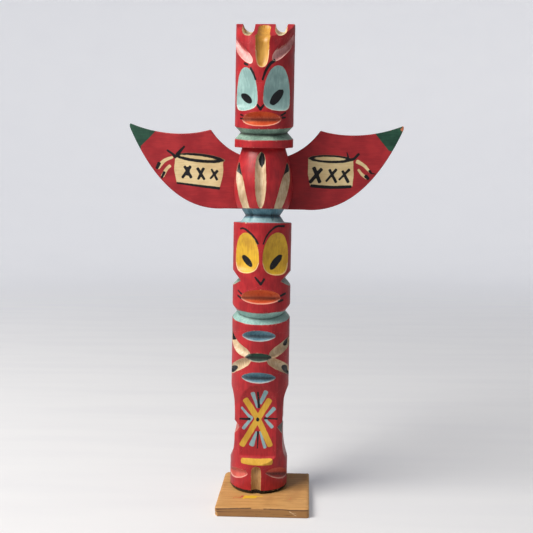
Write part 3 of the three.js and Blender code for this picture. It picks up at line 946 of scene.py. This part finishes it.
# each colour where it is thin and where it is thick
POLE_PAINTS = {
    "cream": ((182, 152, 118), (222, 202, 168)),
    "tan": ((160, 120, 76), (198, 158, 108)),
    "ivory": ((196, 160, 96), (240, 226, 186)),
    "ochre": ((176, 124, 50), (206, 156, 70)),
    "rose": ((204, 134, 132), (228, 172, 168)),
    "teal": ((132, 166, 164), (162, 198, 194)),
    "yellow": ((192, 144, 42), (222, 178, 50)),
    "orange": ((188, 72, 40), (214, 100, 58)),
    "coral": ((176, 74, 66), (208, 104, 92)),
    "brown": ((66, 50, 42), (92, 70, 58)),
    "blue": ((80, 118, 134), (116, 156, 172)),
    "sage": ((104, 130, 118), (148, 176, 160)),
    "pale_green": ((128, 164, 158), (160, 196, 188)),
    "dark_green": ((30, 58, 50), (52, 88, 74)),
    "sky": ((126, 158, 166), (150, 184, 188)),
    "marigold": ((200, 150, 48), (220, 174, 62)),
    "black": ((10, 11, 15), (18, 19, 26)),
}


def painted(name, red, paints, streak_stretch, gloss, waver):
    """Brushed enamel: red ground, colours over it, black last, a painted highlight on the lower rims of cuts,
    painted shade in their creases, and worn at the carved edges.
    """
    material, tree = new_material(name)
    place = object_place(tree)
    streaks = speckle(tree, place, 1.1 * MM, 3.0, streak_stretch)
    patches = speckle(tree, place, 9 * MM, 3.0)
    thick = maths(tree, "MULTIPLY_ADD", patches, 0.6, maths(tree, "MULTIPLY", streaks, 0.4))
    thick = spread(tree, thick, 0.36, 0.64)
    coat = mix(tree, thick, colour(*red[0]), colour(*red[1]))
    for paint_name, (thin, full) in paints.items():
        layer = mix(tree, thick, colour(*thin), colour(*full))
        coat = mix(tree, paint_share(tree, paint_name, waver), coat, layer)
    # painted highlight: the coat paled towards white along the lower rims of the cuts
    lip_highlight = add(tree, "Attribute", attribute_name="lip_highlight").outputs["Fac"]
    lip_highlight_fade = spread(tree, lip_highlight, 0.2, 0.8, 0.34, 0.0)
    lip_highlight_share = maths(tree, "MULTIPLY", spread(tree, lip_highlight, -0.1, 0.15), lip_highlight_fade)
    coat = mix(tree, lip_highlight_share, coat, colour(255, 236, 216))
    # painted shade: the coat darkened in the creases of the cuts and grooves
    crease = add(tree, "Attribute", attribute_name="crease").outputs["Fac"]
    coat = mix(tree, spread(tree, crease, -1.4, 0.0, 0.0, 0.72), coat, colour(40, 24, 28))
    edge = add(tree, "Attribute", attribute_name="edge").outputs["Fac"]
    near_edge = spread(tree, edge, -0.55, 0.0)
    rubbed = spread(tree, speckle(tree, place, 1.8 * MM, 4.0), 0.56, 0.68)
    rubbed = maths(tree, "MULTIPLY", near_edge, maths(tree, "MULTIPLY", rubbed, 0.5))
    coat = mix(tree, rubbed, coat, colour(206, 160, 130))
    fine = speckle(tree, place, 0.5 * MM, 2.0)
    height = maths(tree, "ADD", maths(tree, "MULTIPLY", streaks, 0.7), maths(tree, "MULTIPLY", fine, 0.3))
    bump = add(tree, "Bump", {"Height": height, "Strength": 0.25, "Distance": 0.12 * MM})
    rough = spread(tree, patches, 0.3, 0.7, gloss[0], gloss[1])
    finish_material(tree, {
        "Base Color": coat, "Roughness": rough, "Normal": bump.outputs["Normal"],
        "Specular IOR Level": 0.3, "Coat Weight": 0.05, "Coat Roughness": 0.2})
    return material


POLE_RED = ((150, 30, 38), (182, 40, 46))
pole_enamel = painted("pole_enamel", POLE_RED, POLE_PAINTS, (1.0, 1.0, 0.16), (0.32, 0.46), 0.5)
pole.data.materials.append(pole_enamel)
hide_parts("carved_pole")
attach(pole, "root")

# ---- the wing board -------------------------------------------------------------------------
# One thin board sawn to the outline of two spread wings, let into the back of the pole and
# painted in a duller red, with green tips and a drum with two hanging feathers on each wing.
WING_THICKNESS = 5.6
WING_BACK = 18.5
WING_TIP = (91.3, 238.9, 1.1)
WING_SHOULDER = (37.4, 236.2)
WING_SWEEP = (44.0, 260.8)
WING_SEAT = 14.0
WING_BELLY = (27.0, 184.0)
WING_EDGE = 0.7
WING_STEP = 0.5


def bezier(points, steps=60):
    """Points along a cubic curve."""
    share = np.linspace(0, 1, steps)[:, None]
    start, first, second, end = [np.array(point, float) for point in points]
    return ((1 - share) ** 3 * start + 3 * (1 - share) ** 2 * share * first
            + 3 * (1 - share) * share ** 2 * second + share ** 3 * end)


def wing_top(x):
    """Height of the upper edge at a distance from the middle."""
    radius, centre = WING_SWEEP
    sweep_end = WING_SHOULDER[0] - 0.8
    leading = bezier([WING_SHOULDER, (56, 231), (76, 234), (WING_TIP[0] - 0.6, WING_TIP[1] + WING_TIP[2])])
    sweep = centre - np.sqrt(radius ** 2 - np.clip(x, WING_SEAT, sweep_end) ** 2)
    ramp_start = centre - math.sqrt(radius ** 2 - sweep_end ** 2)
    ramp_x = np.concatenate([[sweep_end], leading[:, 0], [WING_TIP[0]]])
    ramp_z = np.concatenate([[ramp_start], leading[:, 1], [WING_TIP[1] + 0.5]])
    return np.where(x < sweep_end, sweep, np.interp(x, ramp_x, ramp_z))


def wing_bottom(x):
    """Height of the lower edge at a distance from the middle."""
    belly = bezier([WING_BELLY, (60, 181.5), (80, 212), (WING_TIP[0], WING_TIP[1] - WING_TIP[2])])
    return np.interp(x, belly[:, 0], belly[:, 1])


def board_section(low, high, round_by):
    """Closed section of the board, from its low front edge up the front and down the back."""
    half = WING_THICKNESS / 2
    corner = min(WING_EDGE, (high - low) / 2.2)
    points = []
    for z in np.linspace(low + corner, high - corner, 86):
        points.append((-half, z))
    for turn in np.linspace(math.pi, math.pi / 2, 5)[1:]:
        points.append((-half + corner + corner * math.cos(turn), high - corner + corner * math.sin(turn)))
    for y in np.linspace(-half + corner, half - corner, 7)[1:]:
        points.append((y, high))
    for turn in np.linspace(math.pi / 2, 0, 4)[1:]:
        points.append((half - corner + corner * math.cos(turn), high - corner + corner * math.sin(turn)))
    for z in np.linspace(high - corner, low + corner, 22)[1:]:
        points.append((half, z))
    for turn in np.linspace(0, -math.pi / 2, 4)[1:]:
        points.append((half - corner + corner * math.cos(turn), low + corner + corner * math.sin(turn)))
    for y in np.linspace(half - corner, -half + corner, 7)[1:]:
        points.append((y, low))
    for turn in np.linspace(-math.pi / 2, -math.pi, 5)[1:-1]:
        points.append((-half + corner + corner * math.cos(turn), low + corner + corner * math.sin(turn)))
    section = np.array(points)
    middle = np.array([0, (low + high) / 2])
    return middle + (section - middle) * round_by


def board_grid():
    """Sections across both wings, drawn in to a rounded end at each tip."""
    stops = np.linspace(0, WING_TIP[0] - 0.5, round(WING_TIP[0] / WING_STEP))
    ends = WING_TIP[0] - 0.5 + 0.5 * np.sin(np.linspace(0, math.pi / 2, 5)[1:])
    half = np.concatenate([stops, ends])
    shrink = np.concatenate([np.ones(len(stops)), np.cos(np.linspace(0, math.pi / 2, 5)[1:]) * 0.3 + 0.7])
    xs = np.concatenate([-half[:0:-1], half])
    shrinks = np.concatenate([shrink[:0:-1], shrink])
    lows = wing_bottom(np.abs(xs))
    highs = wing_top(np.abs(xs))
    sections = []
    for x, low, high, share in zip(xs, lows, highs, shrinks):
        section = board_section(low, high, share)
        deep = section[:, 0] + WING_BACK - WING_THICKNESS / 2
        sections.append(np.column_stack([np.full(len(section), x), deep, section[:, 1]]))
    return np.array(sections)


board = board_grid()
flat_x = board[..., 0]
flat_z = board[..., 2]
wing_paint = {}

GREEN_EDGES = [
    [(-72.2, 236.5), (-77.9, 230.4), (-83.5, 225.0)],
    [(72.5, 235.0), (77.8, 228.6), (82.0, 223.4), (86.5, 223.0)],
]
for side, line in zip((-1, 1), GREEN_EDGES):
    line = np.array(line)
    order = np.argsort(line[:, 1])
    edge_x = np.interp(flat_z, line[order, 1], line[order, 0])
    lay(wing_paint, "green", (side * flat_x - side * edge_x) * 0.72)


# a drum on each wing: corners of its body, then centre, length, width and turn of its rim and mouth
DRUM_BODIES = [
    [(-59.1, 200.9), (-30.1, 197.9), (-28.4, 204.0), (-27.7, 209.0), (-28.0, 216.0), (-60.0, 218.6),
     (-60.9, 209.7)],
    [(30.5, 200.0), (58.4, 200.0), (59.1, 207.5), (58.6, 217.2), (28.9, 217.6), (28.8, 208.0)],
]
DRUM_RIMS = [((-43.7, 217.4), 33.0, 5.9, -5.2), ((43.6, 217.8), 29.2, 5.3, -1.5)]
DRUM_MOUTHS = [((-44.9, 217.7), 23.5, 2.1, -6.0), ((42.9, 218.0), 20.4, 2.5, -1.0)]
WING_BLACK = [
    ([(-58.8, 200.6), (-44.4, 198.9), (-30.3, 197.4)], 1.3, 1.9),
    ([(-65.7, 222.3), (-62.4, 220.2), (-60.0, 217.8)], 1.2, 2.0),
    ([(-54.1, 224.9), (-56.5, 222.4)], 1.4, 1.9), ([(-56.5, 222.4), (-58.9, 219.6)], 2.0, 2.4),
    ([(-53.7, 211.5), (-49.4, 204.5)], 2.0, 2.1), ([(-50.0, 211.5), (-55.1, 204.4)], 2.1, 1.9),
    ([(-51.4, 210.6), (-51.9, 206.6)], 2.6, 3.0),
    ([(-45.0, 210.4), (-40.5, 203.4)], 2.0, 1.7), ([(-41.1, 210.4), (-44.5, 203.5)], 2.0, 1.7),
    ([(-35.6, 210.0), (-31.9, 203.2)], 1.4, 1.8), ([(-31.7, 208.9), (-36.3, 203.9)], 2.0, 1.4),
    ([(-71.1, 213.6), (-72.6, 210.4)], 2.5, 2.0), ([(-67.6, 207.6), (-69.2, 204.0)], 2.0, 1.4),
    ([(31.3, 199.9), (44.3, 199.2), (57.4, 199.7)], 2.2, 2.0),
    ([(62.2, 221.4), (59.0, 218.1), (55.5, 217.5)], 1.6, 2.1), ([(54.3, 222.3), (55.2, 219.5)], 0.7, 1.3),
    ([(32.8, 211.7), (36.8, 202.6)], 2.6, 2.4), ([(37.7, 211.0), (30.5, 202.5)], 2.3, 2.4),
    ([(43.2, 210.6), (47.5, 202.8)], 1.9, 1.9), ([(47.5, 210.9), (41.1, 203.2)], 1.9, 1.4),
    ([(51.9, 209.9), (55.6, 202.9)], 1.8, 2.1), ([(56.1, 211.0), (49.7, 204.3)], 1.8, 1.3),
    ([(69.5, 210.4), (70.8, 208.7)], 1.8, 1.4), ([(70.8, 208.7), (73.3, 208.4), (75.6, 207.6)], 0.8, 0.4),
    ([(67.1, 206.9), (68.9, 205.2)], 2.4, 2.0),
]
WING_FEATHERS = [
    ([(-62.2, 217.7), (-67.4, 215.5), (-71.8, 211.0)], 1.6, 3.0),
    ([(-63.8, 211.9), (-66.3, 209.4), (-68.6, 205.2)], 2.0, 2.4),
    ([(61.3, 216.4), (65.6, 214.0), (69.5, 210.0)], 2.6, 1.6),
    ([(62.2, 211.0), (64.8, 207.8), (67.6, 205.9)], 1.4, 2.2),
]
for outline in DRUM_BODIES:
    lay(wing_paint, "cream", inside_shape(flat_x, flat_z, outline))
for points, start_width, end_width in WING_FEATHERS:
    lay(wing_paint, "cream", brush_stroke(flat_x, flat_z, points, start_width, end_width))
for points, start_width, end_width in WING_BLACK:
    lay(wing_paint, "black", brush_stroke(flat_x, flat_z, points, start_width, end_width))
for rim_spot, mouth_spot in zip(DRUM_RIMS, DRUM_MOUTHS):
    rim = brush_spot(flat_x, flat_z, *rim_spot)
    hole = brush_spot(flat_x, flat_z, *mouth_spot)
    lay(wing_paint, "cream", rim)
    lay(wing_paint, "black", np.minimum(rim, -hole))
on_front = np.where(board[..., 1] < WING_BACK - WING_THICKNESS + 0.2, 9.0, -9.0)
for name in ("cream", "black"):
    wing_paint[name] = np.minimum(wing_paint[name], on_front)

section_low = flat_z.min(axis=1, keepdims=True)
section_high = flat_z.max(axis=1, keepdims=True)
# the board gets no painted highlight on rims
wing_paint["lip_highlight"] = np.full(flat_x.shape, 9.0)
# the board gets no painted shade in creases
wing_paint["crease"] = np.full(flat_x.shape, -9.0)
wing_paint["edge"] = -np.minimum(flat_z - section_low, section_high - flat_z) * 0.6
wing_paint["bare"] = np.maximum(flat_x - 90.2, 0.9 - np.hypot(flat_x - 89.9, flat_z - 237.6))

BOARD_WAVE = 0.06
wave = BOARD_WAVE * (1 + wander(board, 9.0, 5.1))
middle_y = WING_BACK - WING_THICKNESS / 2
off_middle = board[..., 1] - middle_y
board[..., 1] -= np.sign(off_middle) * wave * (np.abs(off_middle) > WING_THICKNESS / 2 - 0.1)
wing_faces = closed_faces(board, np.zeros(board.shape[:2], bool))
wing_ends = np.array([board[0].mean(axis=0), board[-1].mean(axis=0)])
wing_points = stand_up(np.concatenate([board.reshape(-1, 3), wing_ends]))
wing_marks = {name: np.append(values.ravel(), [-9, 9] if name == "bare" else [-9, -9])
              for name, values in wing_paint.items()}
wings = build_mesh("painted_wings", wing_points, wing_faces, wing_marks, 45)
WING_RED = ((146, 34, 42), (170, 42, 48))
WING_PAINTS = {
    "green": ((26, 60, 48), (40, 82, 64)),
    "cream": ((206, 182, 134), (226, 206, 158)),
    "bare": ((176, 92, 62), (196, 116, 82)),
    "black": POLE_PAINTS["black"],
}
wing_enamel = painted("wing_enamel", WING_RED, WING_PAINTS, (0.14, 1.0, 1.0), (0.42, 0.56), 0.45)
wings.data.materials.append(wing_enamel)
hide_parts("wing_board")
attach(wings, "root")

# ---- the base plate -------------------------------------------------------------------------
# A small plate of bare soft wood, varnished brown, with rubbed edges, a split along its front
# edge, a chipped corner, and smears of the pole's red and yellow paint.
BASE_HALF = (29.2, 32.3)
BASE_HEIGHT = 5.8
BASE_CORNER = 1.8
BASE_EDGE = 0.55
base_centre = np.array([base_middle.x, base_middle.y, 0]) / MM


def plate_loop(inset):
    """Rounded rectangle drawn in by an inset, with the same number of points each time."""
    corner = max(BASE_CORNER - inset, 0.15)
    half = np.array(BASE_HALF) - inset - corner
    sides = [np.array(side) for side in ((1, 1), (-1, 1), (-1, -1), (1, -1))]
    points = []
    for quarter, (side, next_side) in enumerate(zip(sides, sides[1:] + sides[:1])):
        for turn in np.linspace(quarter, quarter + 1, 7) * math.pi / 2:
            last = corner * np.array([math.cos(turn), math.sin(turn)])
            points.append(side * half + last)
        for share in np.linspace(0, 1, 66)[1:-1]:
            points.append(side * half + last + (next_side - side) * half * share)
    return np.array(points)


def plate_grid():
    """Loops from the middle of the underside round the edge to the middle of the top."""
    loops = []
    for inset in np.linspace(25, BASE_EDGE, 8):
        loops.append((inset, 0.0))
    for turn in np.linspace(0, math.pi / 2, 4)[1:]:
        loops.append((BASE_EDGE * (1 - math.sin(turn)), BASE_EDGE * (1 - math.cos(turn))))
    for height in np.linspace(BASE_EDGE, BASE_HEIGHT - BASE_EDGE, 12)[1:]:
        loops.append((0.0, height))
    for turn in np.linspace(0, math.pi / 2, 5)[1:]:
        loops.append((BASE_EDGE * (1 - math.cos(turn)), BASE_HEIGHT - BASE_EDGE * (1 - math.sin(turn))))
    for inset in BASE_EDGE + 24.5 * np.linspace(0, 1, 34)[1:] ** 1.1:
        loops.append((inset, BASE_HEIGHT))
    grid = []
    for inset, height in loops:
        outline = plate_loop(inset)
        grid.append(np.column_stack([outline, np.full(len(outline), height)]))
    return np.array(grid)


plate = plate_grid()
rub = 0.25 * (1 + wander(plate, 6.0, 2.2)) + 0.2 * (1 + wander(plate, 1.9, 8.8))
near_top_edge = np.clip(1 - (BASE_HEIGHT - plate[..., 2]) / 1.2, 0, 1) * np.clip(
    1 - np.minimum(BASE_HALF[0] - np.abs(plate[..., 0]), BASE_HALF[1] - np.abs(plate[..., 1])) / 1.6, 0, 1)
plate[..., 2] -= rub * near_top_edge
CHIP_PLACE = np.array([-29.2, -32.3, 1.2])
CHIP_SIZE = np.array([1.8, 2.4, 2.6])
chip = np.clip(1 - np.linalg.norm((plate - CHIP_PLACE) / CHIP_SIZE, axis=-1), 0, 1)
plate[..., 0] += 1.5 * chip
plate[..., 1] += 0.9 * chip
CLIPPED = 3.6
clipped = np.clip((-plate[..., 0] + plate[..., 1] - (sum(BASE_HALF) - CLIPPED)) / CLIPPED, 0, 1)
plate[..., 0] += 1.3 * clipped
plate[..., 1] -= 1.3 * clipped

plate_marks = {}
front_x = plate[..., 0]
front_z = plate[..., 2]
on_front_edge = np.where(plate[..., 1] < -BASE_HALF[1] + 1.2, 9.0, -9.0)
on_top = np.where(plate[..., 2] > BASE_HEIGHT - 0.9, 9.0, -9.0)
# strokes along the front edge: place across and height, and the widths of the ends
FRONT_CRACKS = [
    ([(-28.6, 4.7), (-19.0, 5.15), (-6.5, 5.45)], 0.6, 0.35),
    ([(0.7, 5.3), (13.0, 5.2), (18.0, 4.8), (28.6, 4.9)], 0.35, 0.6),
    ([(-28.4, 3.1), (-10.0, 3.4), (6.0, 3.6)], 0.4, 0.2), ([(-4.0, 1.9), (8.0, 2.1), (22.0, 1.6)], 0.2, 0.35),
]
FRONT_SCRATCHES = [
    ([(17.0, 4.2), (21.5, 1.3)], 0.5, 0.3), ([(18.5, 2.8), (22.0, 3.4)], 0.25, 0.2),
    ([(19.5, 1.2), (22.5, 2.6)], 0.3, 0.2),
]
# smears on the top: place across and forwards
RED_SMEARS = [
    ([(-19.4, -16.7), (-17.4, -14.6)], 0.5, 0.9),
    ([(-16.9, -16.2), (-14.7, -15.6), (-13.2, -12.5)], 0.5, 1.3),
    ([(16.4, -16.9), (17.9, -15.6), (17.5, -13.8)], 0.9, 0.5),
]
YELLOW_SMEARS = [
    ([(-12.6, -17.2), (-11.2, -12.4)], 1.2, 2.6), ([(-11.0, -14.2), (-5.6, -14.0)], 4.6, 4.4),
    ([(-5.6, -12.6), (-0.8, -12.9)], 1.8, 1.1),
]
PLATE_STROKES = [
    ("crack", FRONT_CRACKS, front_z, on_front_edge), ("scratch", FRONT_SCRATCHES, front_z, on_front_edge),
    ("red", RED_SMEARS, plate[..., 1], on_top), ("yellow", YELLOW_SMEARS, plate[..., 1], on_top),
]
for mark, strokes, up, limit in PLATE_STROKES:
    for points, start_width, end_width in strokes:
        stroke = brush_stroke(front_x, up, points, start_width, end_width)
        lay(plate_marks, mark, np.minimum(stroke, limit))
plate_marks["shade"] = np.where(plate[..., 1] < -BASE_HALF[1] + 0.3, 3.0, -3.0)
plate_faces = closed_faces(plate, np.zeros(plate.shape[:2], bool))
plate_ends = np.array([[0, 0, 0], [0, 0, BASE_HEIGHT]])
plate_points = np.concatenate([plate.reshape(-1, 3), plate_ends]) + base_centre
plate_marks = {name: np.append(values.ravel(), [-9, -9]) for name, values in plate_marks.items()}
base = build_mesh("wooden_base", plate_points, plate_faces, plate_marks, 50)

wood, wood_tree = new_material("varnished_wood")
wood_place = object_place(wood_tree)
long_grain = speckle(wood_tree, wood_place, 1.3 * MM, 5.0, (0.06, 1.0, 1.4))
fibres = speckle(wood_tree, wood_place, 0.5 * MM, 3.0, (0.05, 1.0, 1.0))
stains = speckle(wood_tree, wood_place, 14 * MM, 4.0)
grain_share = spread(wood_tree, long_grain, 0.36, 0.64)
fibre_share = spread(wood_tree, fibres, 0.55, 0.75, 0.0, 0.2)
stain_share = spread(wood_tree, stains, 0.5, 0.72, 0.0, 0.45)
wood_colour = mix(wood_tree, grain_share, colour(186, 136, 76), colour(206, 158, 98))
wood_colour = mix(wood_tree, fibre_share, wood_colour, colour(150, 102, 54))
wood_colour = mix(wood_tree, stain_share, wood_colour, colour(156, 108, 58))
WOOD_MARKS = {
    "shade": ((150, 104, 58), (174, 126, 72)),
    "red": ((186, 50, 46), (198, 62, 54)), "yellow": ((214, 168, 36), (226, 184, 52)),
    "crack": ((74, 46, 26), (84, 54, 30)), "scratch": ((228, 196, 150), (232, 204, 164)),
}
for mark, (thin, full) in WOOD_MARKS.items():
    share = paint_share(wood_tree, mark, 1.1 if mark in ("red", "yellow") else 0.2)
    wood_colour = mix(wood_tree, share, wood_colour, mix(wood_tree, stains, colour(*thin), colour(*full)))
wood_height = maths(wood_tree, "MULTIPLY_ADD", long_grain, 0.7, maths(wood_tree, "MULTIPLY", fibres, 0.3))
wood_bump = add(wood_tree, "Bump", {"Height": wood_height, "Strength": 0.4, "Distance": 0.2 * MM})
wood_rough = spread(wood_tree, stains, 0.3, 0.7, 0.5, 0.66)
finish_material(wood_tree, {
    "Base Color": wood_colour, "Roughness": wood_rough, "Normal": wood_bump.outputs["Normal"]})
base.data.materials.append(wood)
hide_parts("base_plate")
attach(base, "root")
